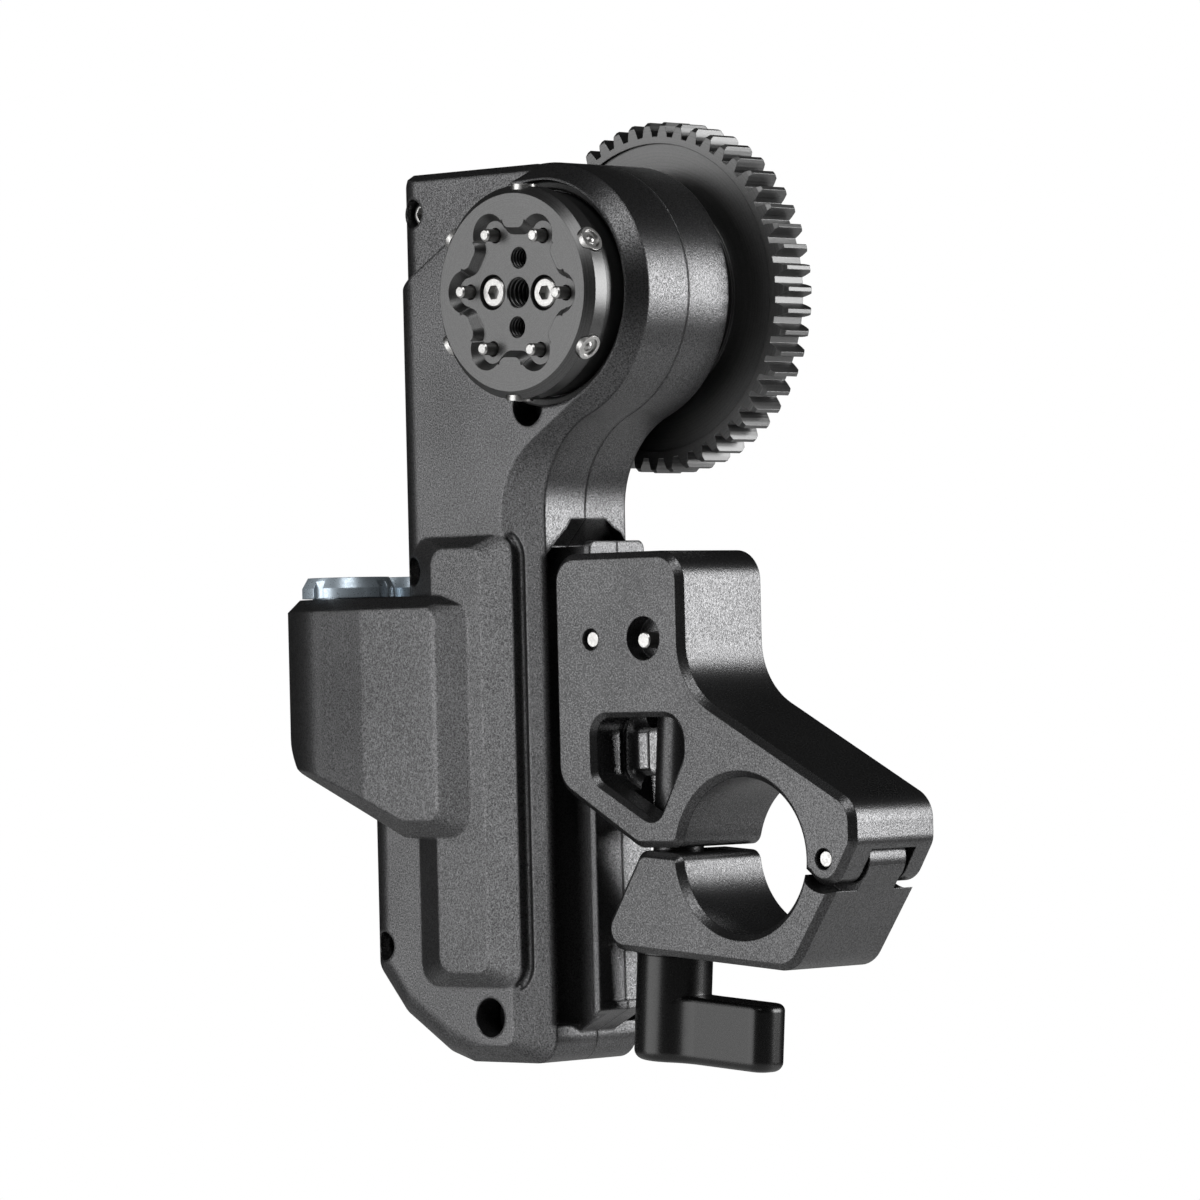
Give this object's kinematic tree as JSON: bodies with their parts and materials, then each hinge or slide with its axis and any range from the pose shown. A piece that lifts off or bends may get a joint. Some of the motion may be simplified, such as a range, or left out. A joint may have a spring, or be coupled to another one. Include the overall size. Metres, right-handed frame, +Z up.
{
  "type": "follow focus unit",
  "caption": "Slim black lens control motor with a toothed drive gear, a pinned drive hub, a side rail and a hinged rod clamp closed by a wing knob.",
  "frame": {"origin": "centre of the rod clamp's bore, halfway through the clamp's width", "axes": "+X from the housing towards the rod clamp, +Y along the rod from the drive hub's side to the drive gear's side, +Z up, from the wing knob to the drive head"},
  "size_m": [0.0943, 0.0309, 0.1134],
  "materials": {
    "shell_black": "bead-blasted, black anodised",
    "clamp_black": "bead-blasted, black anodised",
    "hub_black": "fine turned, black anodised",
    "gear_black": "hobbed acetal, satin",
    "knob_black": "moulded, satin",
    "steel": "bright stainless",
    "bearing_steel": "ground",
    "motor_can": "nickel plated",
    "dark_steel": "black oxide",
    "gear_steel": "hobbed",
    "brass": "machined",
    "seal_rubber": "matt",
    "board_green": "solder mask",
    "board_parts": "moulded packages",
    "port_metal": "satin nickel",
    "port_blue": "satin nickel",
    "port_insert": "moulded",
    "port_pins": "gold plated"
  },
  "bodies": {
    "clamp": {"clamp_body": "clamp_black", "jaw_pin": "steel", "stud_pin": "steel", "shoe_pin": "steel", "rail_shoe": "dark_steel"},
    "housing": {"front_shell": "shell_black", "rear_shell": "shell_black", "side_screws": "steel", "deep_screws": "dark_steel", "hub_seal": "seal_rubber", "front_bearing_outer": "bearing_steel", "rear_bearing_outer": "bearing_steel", "idler_axles": "steel", "motor_can": "motor_can", "main_board": "board_green", "board_parts": "board_parts", "board_screws": "dark_steel", "port_front_barrel": "port_metal", "port_front_insert": "port_insert", "port_front_pins": "port_pins", "port_front_nut": "port_blue", "port_rear_barrel": "port_metal", "port_rear_insert": "port_insert", "port_rear_pins": "port_pins", "port_rear_nut": "port_blue"},
    "drive": {"drive_hub": "hub_black", "hub_pins": "steel", "hub_screws": "steel", "hub_plungers": "steel", "output_shaft": "steel", "front_bearing_inner": "bearing_steel", "rear_bearing_inner": "bearing_steel", "shaft_spacer": "bearing_steel", "output_gear": "gear_steel", "retaining_ring": "dark_steel", "rear_carrier": "hub_black", "carrier_screws": "dark_steel", "drive_gear": "gear_black", "gear_pins": "steel", "gear_plate": "hub_black", "plate_screws": "dark_steel"},
    "idler_second": {"idler_second": "brass"},
    "idler_third": {"idler_third": "brass"},
    "idler_first": {"idler_first": "brass"},
    "rotor": {"motor_shaft": "steel", "motor_pinion": "brass"},
    "jaw": {"lower_jaw": "clamp_black"},
    "stud": {"clamp_stud": "dark_steel"},
    "washer": {"thrust_washer": "dark_steel"},
    "knob": {"wing_knob": "knob_black", "knob_insert": "brass"}
  },
  "joints": [
    {"name": "rail_slide", "type": "slide", "parent": "clamp", "child": "housing", "axis": [0, 0, 1], "range_m": [-0.005, 0.018]},
    {"name": "drive_spin", "type": "hinge", "parent": "housing", "child": "drive", "pos_m": [-0.02813, 0, 0.06705], "axis": [0, 1, 0], "continuous": true},
    {"name": "idler_second_spin", "type": "hinge", "parent": "housing", "child": "idler_second", "pos_m": [-0.03993, 0, 0.05879], "axis": [0, 1, 0], "continuous": true},
    {"name": "idler_third_spin", "type": "hinge", "parent": "housing", "child": "idler_third", "pos_m": [-0.04113, 0, 0.04806], "axis": [0, 1, 0], "continuous": true},
    {"name": "idler_first_spin", "type": "hinge", "parent": "housing", "child": "idler_first", "pos_m": [-0.04193, 0, 0.03669], "axis": [0, 1, 0], "continuous": true},
    {"name": "rotor_spin", "type": "hinge", "parent": "housing", "child": "rotor", "pos_m": [-0.04233, 0, 0.02769], "axis": [0, 1, 0], "continuous": true},
    {"name": "jaw_hinge", "type": "hinge", "parent": "clamp", "child": "jaw", "pos_m": [0.01272, 0, 0.00008], "axis": [0, -1, 0], "range_deg": [0, 12]},
    {"name": "stud_swing", "type": "hinge", "parent": "clamp", "child": "stud", "pos_m": [-0.01446, 0, 0.02563], "axis": [0, -1, 0], "range_deg": [-0.1, 4.6]},
    {"name": "washer_travel", "type": "slide", "parent": "stud", "child": "washer", "axis": [-0.0745, 0, -0.9972], "range_m": [-0.0001, 0.0067]},
    {"name": "knob_turn", "type": "hinge", "parent": "washer", "child": "knob", "pos_m": [-0.01446, 0, 0.02563], "axis": [-0.0745, 0, -0.9972], "range_deg": [-110, 110]}
  ],
  "couplings": [
    {"joint": "idler_second_spin", "follows": "drive_spin", "ratio": -3},
    {"joint": "idler_third_spin", "follows": "drive_spin", "ratio": 6},
    {"joint": "idler_first_spin", "follows": "drive_spin", "ratio": -13},
    {"joint": "rotor_spin", "follows": "drive_spin", "ratio": 19.5},
    {"joint": "stud_swing", "follows": "jaw_hinge", "ratio": 0.375},
    {"joint": "washer_travel", "follows": "jaw_hinge", "m_per_rad": 0.0315}
  ]
}
